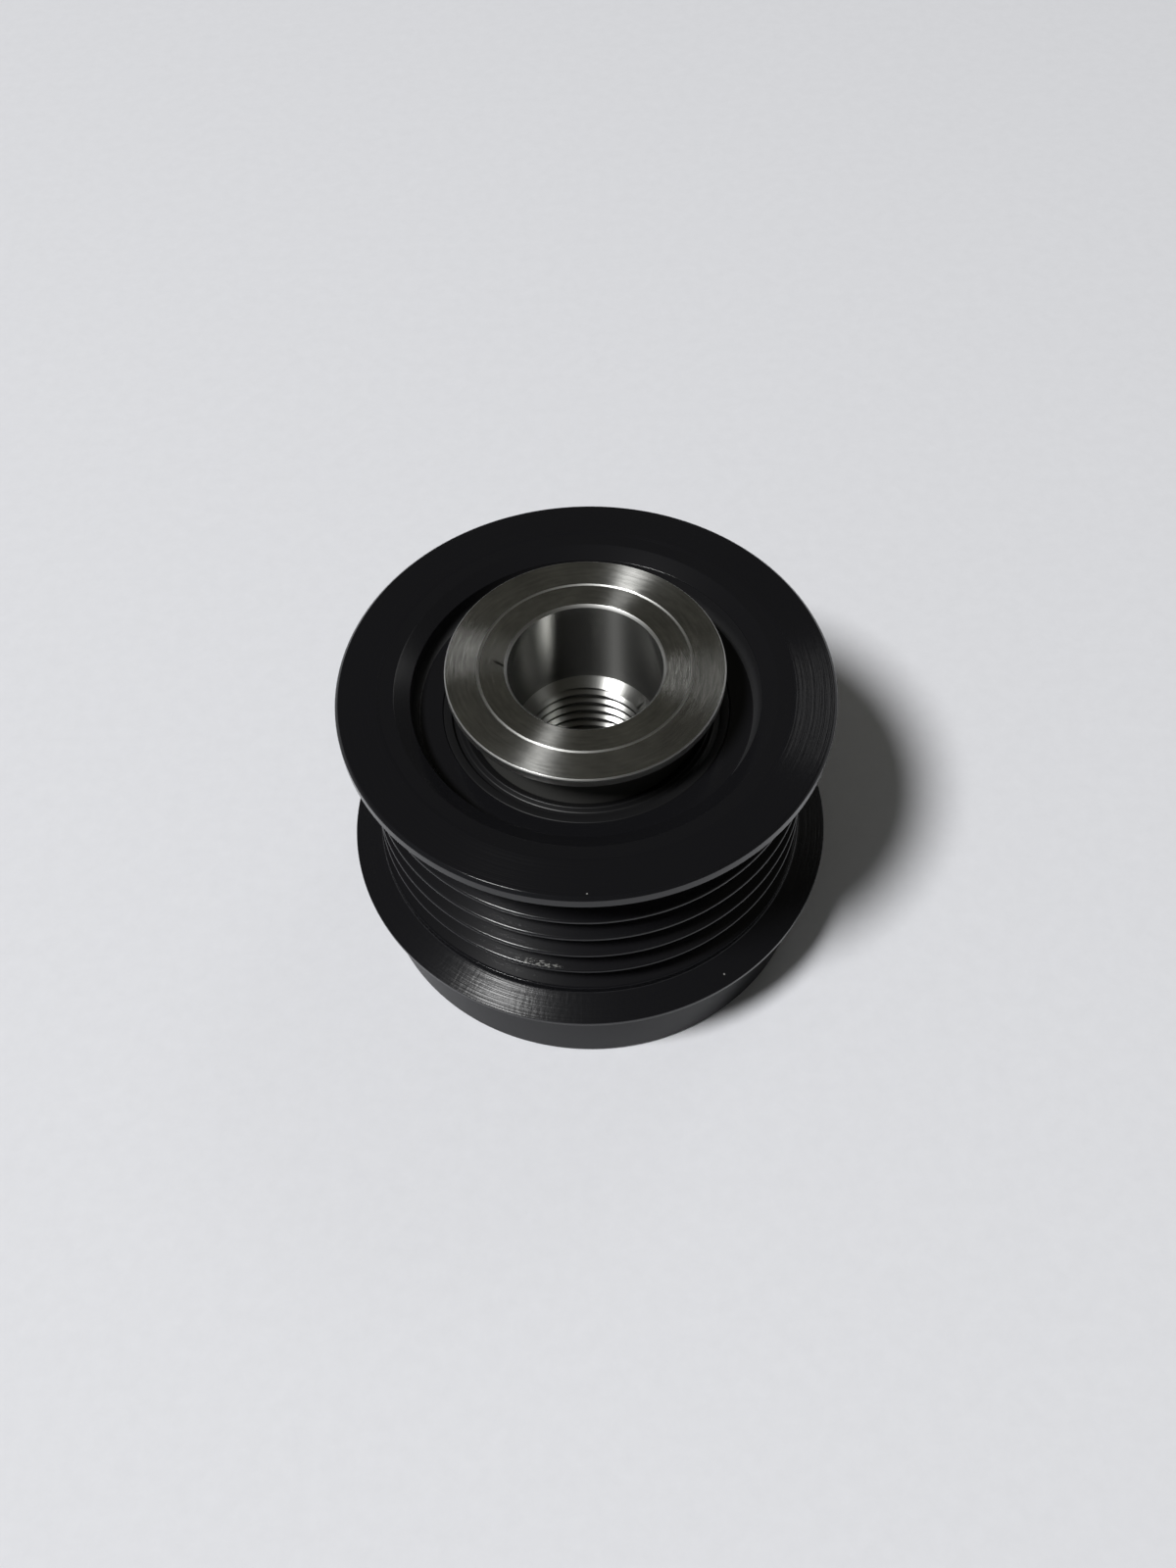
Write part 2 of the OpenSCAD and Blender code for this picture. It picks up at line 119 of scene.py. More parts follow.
# Where the photographer stands: place, heading, tilt down and roll
CAMERA_PLACE = (0, -0.11391, 0.17892)
CAMERA_YAW = math.radians(-0.05)
CAMERA_PITCH = math.radians(54.72)
CAMERA_ROLL = math.radians(-1.85)


def linear(hex_colour):
    """The linear RGBA of an sRGB hex colour."""
    parts = [int(hex_colour[i : i + 2], 16) / 255 for i in (1, 3, 5)]
    return [p / 12.92 if p <= 0.04045 else ((p + 0.055) / 1.055) ** 2.4 for p in parts] + [1.0]


def length(name, description, millimetres):
    """A length that can be set in the panel."""
    return FloatProperty(
        name=name, description=description, default=millimetres * MM, min=0, precision=5, unit="LENGTH"
    )


def power(name, description, watts):
    """A lamp's power that can be set in the panel."""
    return FloatProperty(name=name, description=description, default=watts, min=0, unit="POWER")


def colour(name, description, hex_colour):
    """A colour that can be set in the panel."""
    return FloatVectorProperty(
        name=name,
        description=description,
        default=linear(hex_colour),
        size=4,
        min=0,
        max=1,
        subtype="COLOR",
    )


class RingSizes(PropertyGroup):
    """Sizes of the ribbed outer ring."""

    height: length("Ring height", "Height of the rear face above the foot", 36.8)
    rear_rim: length("Rear rim", "Radius of the rear flange", 27.6)
    rear_rim_w: length("Rear rim width", "Width of the rear flange's rim", 1.46)
    rear_edge: length("Rear edge", "Chamfer on the edge of the rear flange", 0.35)
    front_rim: length("Front rim", "Radius of the front flange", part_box("outer_ring")[1].y / MM)
    front_rim_w: length("Front rim width", "Width of the front flange's rim", 0.5)
    front_rim_z: length("Front rim height", "Height of the front flange's upper edge", 11.504)
    flange_back: length("Flange back", "Height of the cone under the front flange", 0.7)
    nose: length("Nose", "Radius of the nose", 26.2)
    nose_edge: length("Nose edge", "Chamfer on the foot", 0.5)
    cavity: length("Cavity", "Radius inside the nose", 22.6)
    cavity_z: length("Cavity depth", "Height of the cavity's top above the foot", 4.49)
    cap_groove: length("Cap groove", "Radius at the bottom of the cap groove", 23.1)
    cap_groove_z: length("Cap groove height", "Height of the cap groove above the foot", 1.4)
    cap_groove_w: length("Cap groove width", "Width of the cap groove", 1.2)
    bore: length("Bore", "Radius of the bore that holds the sleeve", 17.21)
    web_z: length("Web height", "Height of the step under the rear seal", 30.9)
    seal_hole: length("Seal hole", "Radius of the hole that holds the rear seal", 16.0)
    recess: length("Recess", "Radius of the recess round the hub", 19.4)
    recess_dip: length("Recess dip", "Radius where the face starts to dip into the recess", 21.2)
    recess_mouth: length("Recess mouth", "Height of the recess's mouth above the foot", 35.881)
    recess_floor: length("Recess floor", "Height of the recess's floor above the foot", 33.4)
    recess_fillet: length("Recess fillet", "Radius between the recess's wall and floor", 1.5)
    face_land: length("Face land", "Inner radius of the raised land on the rear face", 22.75)
    face_land_h: length("Land height", "Height of that land above the face inside it", 0.08)
    rib_pitch: length("Rib pitch", "Distance from one belt groove to the next", 3.56)
    first_groove: length("First groove", "Height of the first groove's middle above the foot", 33.02)
    crest: length("Crest", "Radius over the rib crests", 25.0)
    crest_flat: length("Crest flat", "Width of the flat on a crest", 0.44)
    root: length("Root", "Radius at the bottom of the grooves", 22.4)
    root_flat: length("Root flat", "Width of the flat at the bottom of a groove", 1.227)
    land: length("Land", "Radius of the plain land after the last groove", 25.2)
    land_end: length("Land end", "Height of that land's lower end above the foot", 12.705)
    grooves: IntProperty(name="Grooves", description="Number of belt grooves", default=6, min=1)


class HubSizes(PropertyGroup):
    """Sizes of the hub, its thread and its drive teeth."""

    top: length("Clamp face", "Height of the clamp face above the foot", 40.18)
    end: length("Front end", "Height of the hub's front end above the foot", 3.59)
    end_edge: length("End chamfer", "Chamfer outside the front end", 0.5)
    disc: length("Disc", "Radius of the disc", 15.3)
    disc_t: length("Disc thickness", "Thickness of the disc", 1.28)
    disc_edge: length("Disc chamfer", "Chamfer on the disc's rim", 0.15)
    neck: length("Neck", "Radius of the neck under the disc", 13.0)
    shoulder: length("Shoulder", "Height of the neck's lower end above the foot", 30.82)
    shaft: length("Shaft", "Radius inside the races", 12.0)
    clip_groove: length("Clip groove", "Radius in the retaining ring's groove", 11.3)
    clip_top: length("Clip groove top", "Height of that groove's upper side", 8.2)
    clip_low: length("Clip groove foot", "Height of that groove's lower side", 7.08)
    pilot: length("Pilot bore", "Radius of the pilot bore", 8.5)
    pilot_edge: length("Bore chamfer", "Chamfer at the mouth of the pilot bore", 0.3)
    pilot_end: length("Pilot bore end", "Height of the pilot bore's lower end", 27.98)
    face_line: length("Face line", "Radius of the line turned into the clamp face", 11.68)
    face_line_w: length("Face line width", "Width of that line", 0.3)
    face_line_depth: length("Face line depth", "Depth of that line", 0.15)
    thread_root: length("Thread root", "Radius at the bottom of the thread", 8.0)
    thread_crest: length("Thread crest", "Radius over the thread's crests", 7.19)
    thread_pitch: length("Thread pitch", "Distance from one turn of the thread to the next", 1.5)
    thread_start: length("Thread start", "Height where the thread meets its entry cone", 27.617)
    thread_end: length("Thread end", "Height where the thread meets its lower cone", 13.54)
    teeth_end: length("Teeth end", "Height of the drive teeth's inner end", 10.59)
    runout: length("Runout", "Radius of the groove behind the teeth", 9.95)
    runout_end: length("Runout end", "Height of that groove's upper side", 11.59)
    tooth_root: length("Tooth root", "Radius at the bottom of the drive teeth", 9.8)
    tooth_tip: length("Tooth tip", "Radius inside the drive teeth", 9.0)
    teeth: IntProperty(name="Drive teeth", description="Number of drive teeth", default=33, min=3)


class SealSizes(PropertyGroup):
    """Sizes of the two shaft seals."""

    width: length("Seal width", "Width of a seal", 2.4)
    rear_z: length("Rear seal", "Height of the rear seal's lower side above the foot", 30.9)
    front_z: length("Front seal", "Height of the front seal's lower side above the foot", 4.59)
    rear_out: length("Rear case", "Outer radius of the rear seal", 15.99)
    front_out: length("Front case", "Outer radius of the front seal", 17.2)
    rear_run: length("Rear track", "Radius that the rear seal runs on", 13.0)
    front_run: length("Front track", "Radius that the front seal runs on", 12.0)
    case_t: length("Case thickness", "Thickness of a seal's metal case", 0.45)
    case_lip: length("Case lip", "Width of the case's flat lip", 0.95)
    rubber_drop: length("Rubber drop", "Drop of the rubber below the case", 0.45)
    lip_gap: length("Lip gap", "Gap between a seal's edge and its track", 0.08)


class Finishes(PropertyGroup):
    """Colours of the finishes."""

    black_coat: colour("Black coat", "Dip coat on the outer ring", "#141416")
    bare_steel: colour("Bare steel", "Turned steel of the hub", "#b4b4b1")
    bored_steel: colour("Bored steel", "Steel of the hub's bore and thread, dulled by oil", "#9a9a97")
    oiled_steel: colour("Oiled steel", "Hub's neck under its film of oil and dust", "#555553")
    bearing_steel: colour("Bearing steel", "Ground and hardened steel", "#a3a6a8")
    case_steel: colour("Seal case", "Phosphated sheet steel", "#121213")
    rubber: colour("Rubber", "Nitrile rubber of the seals", "#101011")
    nylon: colour("Nylon", "Glass-filled nylon of the cages", "#3b3328")
    spring: colour("Spring steel", "Tempered spring steel", "#a89a78")
    bronze: colour("Bronze", "Sintered bronze of the washers", "#9c7442")
    chip: colour("Chips", "Bare metal where the coat is worn off", "#8f8f8c")
    # Painted light: a paler coat colour for the recess's wall, which lifts the shade there
    recess_painted_light: colour("Dust", "Dust on the coat of the recess's wall", "#1e1e20")


class StageSettings(PropertyGroup):
    """Floor, light and camera."""

    floor: colour("Floor", "Matt paper floor", "#dedfe3")
    horizon: colour("Horizon", "Backdrop at the level of the floor", "#d9dadd")
    room: colour("Room", "Dim room above", "#41403b")
    glow: colour("Glow", "Bright wall of the room at the front left", "#75787b")
    key_power: power("Key light", "Power of the key light at the front left", 68.5)
    key_size: length("Key size", "Diameter of the key light", 570)
    key_distance: length("Key distance", "Distance of the key light", 2600)
    window_power: power("Window", "Power of the weak light at the back right", 0.38)
    window_size: length("Window size", "Diameter of the weak light", 330)
    window_distance: length("Window distance", "Distance of the weak light", 1200)
    lens: FloatProperty(
        name="Lens", description="Focal length for a 36 mm long side", default=37.98, min=1, unit="CAMERA"
    )


GROUPS = {
    "pulley_ring": RingSizes,
    "pulley_hub": HubSizes,
    "pulley_seals": SealSizes,
    "pulley_finishes": Finishes,
    "pulley_stage": StageSettings,
}


def eased(corners):
    """A closed outline with its corners rounded.

    A corner is a radius, a height and, where it is rounded, its rounding.
    """
    outline = []
    for i, corner in enumerate(corners):
        here = Vector(corner[:2])
        if len(corner) == 2:
            outline.append(here)
            continue
        last = corners[i - 1]
        coming = corners[(i + 1) % len(corners)]
        before = Vector(last[:2]) - here
        after = Vector(coming[:2]) - here
        half = before.angle(after) / 2
        # Two rounded corners share the edge between them, and a sharp one leaves it whole
        room_before = before.length * (0.45 if len(last) == 3 else 0.98)
        room_after = after.length * (0.45 if len(coming) == 3 else 0.98)
        reach = min(corner[2] / math.tan(half), room_before, room_after)
        bisector = (before.normalized() + after.normalized()).normalized()
        middle = here + bisector * (reach / math.cos(half))
        spokes = [here + side.normalized() * reach - middle for side in (before, after)]
        start, end = [math.atan2(spoke.y, spoke.x) for spoke in spokes]
        sweep = (end - start + math.pi) % math.tau - math.pi
        cuts = max(2, math.ceil(abs(sweep) / CORNER_STEP))
        for k in range(cuts + 1):
            angle = start + sweep * k / cuts
            outline.append(middle + spokes[0].length * Vector((math.cos(angle), math.sin(angle))))
    return outline


def traced(name, outline):
    """Draws a closed outline in the XZ plane, point by point, and stays in edit mode."""
    bpy.ops.object.select_all(action="DESELECT")
    bpy.ops.mesh.primitive_plane_add(size=MM)
    piece = bpy.context.object
    piece.name = name
    piece.data.name = name
    bpy.ops.object.mode_set(mode="EDIT")
    bpy.ops.mesh.select_mode(type="VERT")
    bpy.ops.mesh.merge(type="CENTER")
    bpy.ops.transform.translate(value=(outline[0].x, 0, outline[0].y))
    for here, there in zip(outline, outline[1:] + outline[:1]):
        step = there - here
        bpy.ops.mesh.extrude_region_move(TRANSFORM_OT_translate={"value": (step.x, 0, step.y)})
    bpy.ops.mesh.select_all(action="SELECT")
    bpy.ops.mesh.remove_doubles(threshold=WELD)
    return piece


def closed(piece):
    """Merges what meets, turns the faces outwards and goes back to object mode."""
    bpy.ops.mesh.select_all(action="SELECT")
    bpy.ops.mesh.remove_doubles(threshold=WELD)
    bpy.ops.mesh.normals_make_consistent(inside=False)
    bpy.ops.object.mode_set(mode="OBJECT")
    return piece


def apply(piece, kind, **settings):
    """Gives a piece a modifier with its settings and applies it."""
    bpy.ops.object.select_all(action="DESELECT")
    piece.select_set(True)
    bpy.context.view_layer.objects.active = piece
    modifier = piece.modifiers.new(kind.title(), kind)
    for name, value in settings.items():
        setattr(modifier, name, value)
    bpy.ops.object.modifier_apply(modifier=modifier.name)


def shaded(piece):
    """Smooths a piece's curved faces and keeps its flat faces flat."""
    bpy.ops.object.select_all(action="DESELECT")
    piece.select_set(True)
    bpy.context.view_layer.objects.active = piece
    bpy.ops.object.shade_smooth_by_angle(angle=SMOOTH_ANGLE)
    apply(piece, "WEIGHTED_NORMAL", keep_sharp=True, weight=80)
    return piece


def turned(name, outline):
    """Turns a closed outline about the pulley's axis, as on a lathe."""
    piece = traced(name, outline)
    bpy.ops.mesh.spin(steps=TURN_STEPS, angle=math.tau, center=(0, 0, 0), axis=(0, 0, 1))
    return shaded(closed(piece))


def dressed(piece, body, slot, material):
    """Gives a finished piece its body and its material. Its slot is not used."""
    piece.data.materials.clear()
    piece.data.materials.append(material)
    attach(piece, body)


def refaced(piece, *patches):
    """Gives more materials to a piece's faces.

    A patch is a material and a test of a face, by the radius and the height of its middle.
    """
    for material, holds in patches:
        piece.data.materials.append(material)
        for face in piece.data.polygons:
            if holds(math.hypot(face.center.x, face.center.y), face.center.z):
                face.material_index = len(piece.data.materials) - 1


def ring_outline(s):
    """Half section of the outer ring, from the recess's mouth round to its floor."""
    face_z = s.height - s.face_land_h
    break_r = 0.06 * MM
    mouth = s.rib_pitch - s.crest_flat
    outline = [
        (s.recess_dip, face_z, 0.4 * MM),
        # The land rises softly: its step is five times as wide as it is high
        (s.face_land - s.face_land_h, face_z, break_r),
        (s.face_land + 4 * s.face_land_h, s.height, break_r),
        (s.rear_rim - s.rear_edge, s.height, 0.12 * MM),
        (s.rear_rim, s.height - s.rear_edge, 0.12 * MM),
        (s.rear_rim, s.height - s.rear_rim_w, 0.08 * MM),
    ]
    for i in range(s.grooves):
        z = s.first_groove - i * s.rib_pitch
        outline += [
            (s.crest, z + mouth / 2, CREST_ROUND),
            (s.root, z + s.root_flat / 2, ROOT_ROUND),
            (s.root, z - s.root_flat / 2, ROOT_ROUND),
            (s.crest, z - mouth / 2, CREST_ROUND),
        ]
    return outline + [
        (s.land, z - mouth / 2, break_r),
        (s.land, s.land_end, 0.2 * MM),
        (s.front_rim, s.front_rim_z, 0.08 * MM),
        (s.front_rim, s.front_rim_z - s.front_rim_w, 0.08 * MM),
        (s.nose, s.front_rim_z - s.front_rim_w - s.flange_back, 0.3 * MM),
        (s.nose, s.nose_edge, 0.15 * MM),
        (s.nose - s.nose_edge, 0, 0.15 * MM),
        (s.cavity + s.nose_edge, 0, 0.15 * MM),
        (s.cavity, s.nose_edge, 0.15 * MM),
        (s.cavity, s.cap_groove_z, break_r),
        (s.cap_groove, s.cap_groove_z, 0.1 * MM),
        (s.cap_groove, s.cap_groove_z + s.cap_groove_w, 0.1 * MM),
        (s.cavity, s.cap_groove_z + s.cap_groove_w, break_r),
        (s.cavity, s.cavity_z, 0.2 * MM),
        (s.bore, s.cavity_z, 0.1 * MM),
        (s.bore, s.web_z),
        (s.seal_hole, s.web_z),
        (s.seal_hole, s.recess_floor, 0.1 * MM),
        (s.recess, s.recess_floor, s.recess_fillet),
        (s.recess, s.recess_mouth, 0.1 * MM),
    ]


class PULLEY_OT_outer_ring(Operator):
    """Turn the ribbed outer ring"""

    bl_idname = "pulley.outer_ring"
    bl_label = "Outer Ring"

    def execute(self, context):
        s = context.scene.pulley_ring
        finishes = context.scene.pulley_finishes
        # Tolerance of the tests that pick faces
        skin = 0.05 * MM
        rim_z = s.front_rim_z - s.front_rim_w
        ring = turned("ribbed_ring", eased(ring_outline(s)))
        dressed(ring, "pulley", "black_steel", coated_smooth_steel(finishes))
        refaced(
            ring,
            (coated_faced_steel(finishes), lambda r, z: z > s.height - skin and r > s.face_land),
            (
                coated_coned_steel(finishes),
                lambda r, z: s.land < r < s.front_rim - skin and s.front_rim_z < z < s.land_end,
            ),
            (coated_dull_steel(finishes), lambda r, z: r > s.nose - s.nose_edge and z < rim_z - skin),
            # Painted light: the recess's wall gets a paler coat that lifts its shade
            (
                recess_painted_steel(finishes),
                lambda r, z: s.seal_hole + skin < r < s.recess + skin
                and s.recess_floor + skin < z < s.recess_mouth - 2 * skin,
            ),
        )
        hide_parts("outer_ring")
        return {"FINISHED"}


def hub_outline(s):
    """Half section of the hub, without its thread and its drive teeth."""
    break_r = 0.05 * MM
    disc_z = s.top - s.disc_t
    lead = s.tooth_root + s.end_edge / 2
    return [
        (s.face_line - s.face_line_w / 2, s.top, break_r),
        (s.face_line, s.top - s.face_line_depth, break_r),
        (s.face_line + s.face_line_w / 2, s.top, break_r),
        (s.disc - s.disc_edge, s.top, break_r),
        (s.disc, s.top - s.disc_edge, break_r),
        (s.disc, disc_z + s.disc_edge, break_r),
        (s.disc - s.disc_edge, disc_z, break_r),
        (s.neck, disc_z, 0.3 * MM),
        (s.neck, s.shoulder),
        (s.shaft, s.shoulder),
        (s.shaft, s.clip_top, break_r),
        (s.clip_groove, s.clip_top, break_r),
        (s.clip_groove, s.clip_low, break_r),
        (s.shaft, s.clip_low, break_r),
        (s.shaft, s.end + s.end_edge, 0.1 * MM),
        (s.shaft - s.end_edge, s.end, 0.1 * MM),
        (lead, s.end, break_r),
        (s.tooth_root, s.end + lead - s.tooth_root),
        (s.tooth_root, s.teeth_end),
        (s.runout, s.teeth_end, break_r),
        (s.runout, s.runout_end, break_r),
        (s.thread_root, s.thread_end, break_r),
        (s.thread_root, s.thread_start),
        (s.pilot, s.pilot_end, break_r),
        (s.pilot, s.top - s.pilot_edge, break_r),
        (s.pilot + s.pilot_edge, s.top, break_r),
    ]


def thread_ridge(s):
    """The thread's ridge, wound down the bore and cut by the cones at its two ends."""
    turns = math.ceil((s.thread_start - s.thread_end) / s.thread_pitch) + 2
    start = s.thread_end - s.thread_pitch
    # Half the ridge's width at its crest and at its foot
    crest_w = s.thread_pitch / 8
    foot_w = s.thread_pitch * 15 / 32
    profile = [
        (s.thread_root + SUNK, start - foot_w),
        (s.thread_crest, start - crest_w, 0.05 * MM),
        (s.thread_crest, start + crest_w, 0.05 * MM),
        (s.thread_root + SUNK, start + foot_w),
    ]
    ridge = traced("hub_thread", eased(profile))
    bpy.ops.object.mode_set(mode="OBJECT")
    apply(
        ridge,
        "SCREW",
        axis="Z",
        screw_offset=s.thread_pitch,
        iterations=turns,
        steps=THREAD_STEPS,
        render_steps=THREAD_STEPS,
    )
    bpy.ops.object.mode_set(mode="EDIT")
    bpy.ops.mesh.select_all(action="DESELECT")
    bpy.ops.mesh.select_mode(type="EDGE")
    bpy.ops.mesh.select_non_manifold()
    bpy.ops.mesh.fill_holes(sides=0)
    closed(ridge)
    inside = s.thread_crest - 0.2 * MM
    depth = s.thread_root - inside
    slope = (s.pilot_end - s.thread_start) / (s.pilot - s.thread_root)
    space = turned(
        "thread_space",
        [
            Vector((inside, s.thread_end + depth)),
            Vector((s.thread_root + SUNK, s.thread_end - SUNK)),
            Vector((s.thread_root + SUNK, s.thread_start + SUNK * slope)),
            Vector((inside, s.thread_start - depth * slope)),
        ],
    )
    apply(ridge, "BOOLEAN", operation="INTERSECT", solver="EXACT", object=space)
    bpy.data.objects.remove(space)
    return shaded(ridge)


def drive_teeth(s):
    """The drive teeth: one is drawn, raised and chamfered, and then copied round the bore."""
    step = math.tau / s.teeth
    tip_r = 0.06 * MM
    corners = []
    for radius, share, rounding in (
        (s.tooth_root + SUNK, -TOOTH_FOOT, ()),
        (s.tooth_tip, -TOOTH_TIP, (tip_r,)),
        (s.tooth_tip, TOOTH_TIP, (tip_r,)),
        (s.tooth_root + SUNK, TOOTH_FOOT, ()),
    ):
        corners.append((radius * math.cos(share * step), radius * math.sin(share * step), *rounding))
    tooth = traced("drive_teeth", eased(corners))
    bpy.ops.mesh.edge_face_add()
    bpy.ops.transform.rotate(value=math.pi / 2, orient_axis="X", center_override=(0, 0, 0))
    bpy.ops.mesh.extrude_region_move(TRANSFORM_OT_translate={"value": (0, 0, s.teeth_end - s.end)})
    bpy.ops.mesh.select_all(action="SELECT")
    bpy.ops.transform.translate(value=(0, 0, s.end))
    bpy.ops.mesh.bisect(
        plane_co=(s.tooth_tip, 0, s.end + s.tooth_root + s.end_edge / 2 - s.tooth_tip),
        plane_no=(1, 0, 1),
        use_fill=True,
        clear_inner=True,
    )
    bpy.ops.mesh.select_all(action="SELECT")
    bpy.ops.mesh.spin(
        steps=s.teeth - 1, angle=math.tau - step, center=(0, 0, 0), axis=(0, 0, 1), dupli=True
    )
    return shaded(closed(tooth))


class PULLEY_OT_hub(Operator):
    """Turn the hub, cut its thread and its drive teeth"""

    bl_idname = "pulley.hub"
    bl_label = "Hub"

    def execute(self, context):
        sizes = context.scene.pulley_hub
        finishes = context.scene.pulley_finishes
        cut = cut_steel(finishes)
        # Tolerance of the tests that pick faces
        skin = 0.005 * MM
        face_z = sizes.top - skin
        line_z = sizes.top - sizes.pilot_edge - skin
        rim = sizes.disc - sizes.disc_edge
        disc_z = sizes.top - sizes.disc_t
        hub = turned("hub_body", eased(hub_outline(sizes)))
        dressed(hub, "hub", "turned_steel", bored_steel(finishes))
        for piece in (thread_ridge(sizes), drive_teeth(sizes)):
            dressed(piece, "hub", "turned_steel", cut)
        refaced(
            hub,
            (faced_steel(finishes, sizes.face_line / MM), lambda r, z: z > face_z),
            (oiled_steel(finishes), lambda r, z: r > sizes.shaft and sizes.shoulder < z < disc_z + skin),
            (cut, lambda r, z: r < sizes.pilot - skin and z < sizes.pilot_end),
            (
                edge_steel(finishes),
                lambda r, z: (line_z < z < face_z and r > sizes.pilot + skin) or (r > rim and z > disc_z),
            ),
        )
        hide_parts("hub")
        return {"FINISHED"}


def seal_outlines(s, out, run, base, facing):
    """Half sections of a seal's case and rubber.

    Facing is 1 where its flat lip faces up and -1 where it faces down.
    """

    def at(radius, rise, rounding=None):
        height = base + (rise if facing > 0 else s.width - rise)
        return (radius, height) if rounding is None else (radius, height, rounding)

    fine = 0.05 * MM
    case = [
        at(out - s.case_t, 0, fine),
        at(out, 0, fine),
        at(out, s.width, 0.15 * MM),
        at(out - s.case_lip, s.width, fine),
        at(out - s.case_lip, s.width - s.case_t, fine),
        at(out - s.case_t, s.width - s.case_t),
    ]
    seat = 0.01 * MM
    back = out - s.case_t - seat
    front = out - s.case_lip - seat
    bead = (run + front) / 2
    edge_h = 0.35 * MM
    edge = run + s.lip_gap
    edge_z = s.width - 2 * edge_h
    rubber = [
        at(bead, 0, fine),
        at(back, 0, fine),
        at(back, s.width - s.case_t - seat, fine),
        at(front, s.width - s.case_t - seat, fine),
        at(front, s.width - s.rubber_drop, 0.1 * MM),
        at(bead + edge_h, s.width - s.rubber_drop, 0.25 * MM),
        at(bead, s.width, 0.12 * MM),
        at(bead - edge_h / 2, s.width, 0.12 * MM),
        at(edge, edge_z + edge_h / 2, 0.06 * MM),
        at(edge, edge_z - edge_h / 2, 0.06 * MM),
        at(bead, edge_z - 2 * edge_h, 0.1 * MM),
    ]
    return case, rubber


class PULLEY_OT_seals(Operator):
    """Press the two seal cases and mould their rubber"""

    bl_idname = "pulley.seals"
    bl_label = "Seals"

    def execute(self, context):
        s = context.scene.pulley_seals
        finishes = context.scene.pulley_finishes
        metal = phosphated_steel(finishes)
        nitrile = moulded_rubber(finishes)
        for end, out, run, base, facing in (
            ("rear", s.rear_out, s.rear_run, s.rear_z, 1),
            ("front", s.front_out, s.front_run, s.front_z, -1),
        ):
            case, rubber = seal_outlines(s, out, run, base, facing)
            for part, outline, slot, material in (
                ("case", case, "phosphated_steel", metal),
                ("lip", rubber, "nitrile_rubber", nitrile),
            ):
                piece = turned(f"{end}_{part}_turned", eased(outline))
                dressed(piece, "pulley", slot, material)
                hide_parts(f"{end}_seal_{part}")
        return {"FINISHED"}


class PULLEY_OT_inner_parts(Operator):
    """Give the races, rollers, cages, springs and washers their finishes"""

    bl_idname = "pulley.inner_parts"
    bl_label = "Inner Parts"

    def execute(self, context):
        finishes = context.scene.pulley_finishes
        ground = ground_steel(finishes)
        nylon = filled_nylon(finishes)
        spring = tempered_steel(finishes)
        bronze = sintered_bronze(finishes)
        for name, material in {
            "outer_sleeve": ground,
            "rear_inner_race": ground,
            "front_inner_race": ground,
            "clutch_ramp_ring": ground,
            "clutch_rollers": ground,
            "rear_rollers": ground,
            "front_rollers": ground,
            "clutch_cage": nylon,
            "rear_roller_cage": nylon,
            "front_roller_cage": nylon,
            "clutch_springs": spring,
            "hub_retaining_ring": spring,
            "rear_thrust_washer": bronze,
            "front_thrust_washer": bronze,
        }.items():
            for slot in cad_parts[name].material_slots:
                slot.material = material
        return {"FINISHED"}


def add(tree, kind, settings=None, values=None, links=None):
    """Adds a node with its settings, the values of its inputs and the sockets that feed it."""
    node = tree.nodes.new(kind)
    for name, value in (settings or {}).items():
        setattr(node, name, value)
    for name, value in (values or {}).items():
        node.inputs[name].default_value = value
    for name, source in (links or {}).items():
        tree.links.new(source, node.inputs[name])
    return node


def new_material(name):
    """An empty material, and its node tree."""
    material = bpy.data.materials.new(name)
    material.use_nodes = True
    material.node_tree.nodes.clear()
    return material, material.node_tree


def shown(material, shader):
    """Ends a material with its shader."""
    add(material.node_tree, "ShaderNodeOutputMaterial", None, None, {"Surface": shader.outputs[0]})
    return material


def varied(base, factor):
    """A colour made lighter or darker by a factor."""
    return [min(1.0, part * factor) for part in base[:3]] + [1.0]


def blended(tree, first, second, where):
    """A colour that goes over into a second one where a socket says. The first may be a socket itself."""
    linked = isinstance(first, bpy.types.NodeSocket)
    values = {"B": second} if linked else {"A": first, "B": second}
    links = {"Factor": where, "A": first} if linked else {"Factor": where}
    return add(tree, "ShaderNodeMix", {"data_type": "RGBA"}, values, links).outputs["Result"]


def place_in_mm(tree):
    """The place of a point, in millimetres."""
    place = add(tree, "ShaderNodeTexCoord").outputs["Object"]
    scaled = add(tree, "ShaderNodeVectorMath", {"operation": "SCALE"}, {"Scale": 1 / MM}, {0: place})
    return scaled.outputs[0]


def place_on_lathe(tree):
    """The radius and the height of a point, and its way out from the axis, in millimetres."""
    point = place_in_mm(tree)
    way = add(
        tree, "ShaderNodeVectorMath", {"operation": "MULTIPLY"}, {1: (1, 1, 0)}, {0: point}
    ).outputs[0]
    radius = add(tree, "ShaderNodeVectorMath", {"operation": "LENGTH"}, None, {0: way}).outputs["Value"]
    height = add(tree, "ShaderNodeSeparateXYZ", None, None, {0: point}).outputs["Z"]
    return radius, height, way


def grain(tree, size):
    """An even grain of a size in millimetres."""
    values = {"Scale": 1 / size, "Detail": 3.0, "Roughness": 0.6}
    return add(tree, "ShaderNodeTexNoise", None, values, {"Vector": place_in_mm(tree)}).outputs["Fac"]


def lathe_marks(tree, feed):
    """Turning marks: one ring to a feed in millimetres, and uneven."""
    radius, height = place_on_lathe(tree)[:2]
    section = add(tree, "ShaderNodeCombineXYZ", None, None, {"X": radius, "Y": height}).outputs[0]
    return add(
        tree,
        "ShaderNodeTexNoise",
        {"noise_dimensions": "2D"},
        {"Scale": 1 / feed, "Detail": 2.0, "Roughness": 0.6},
        {"Vector": section},
    ).outputs["Fac"]


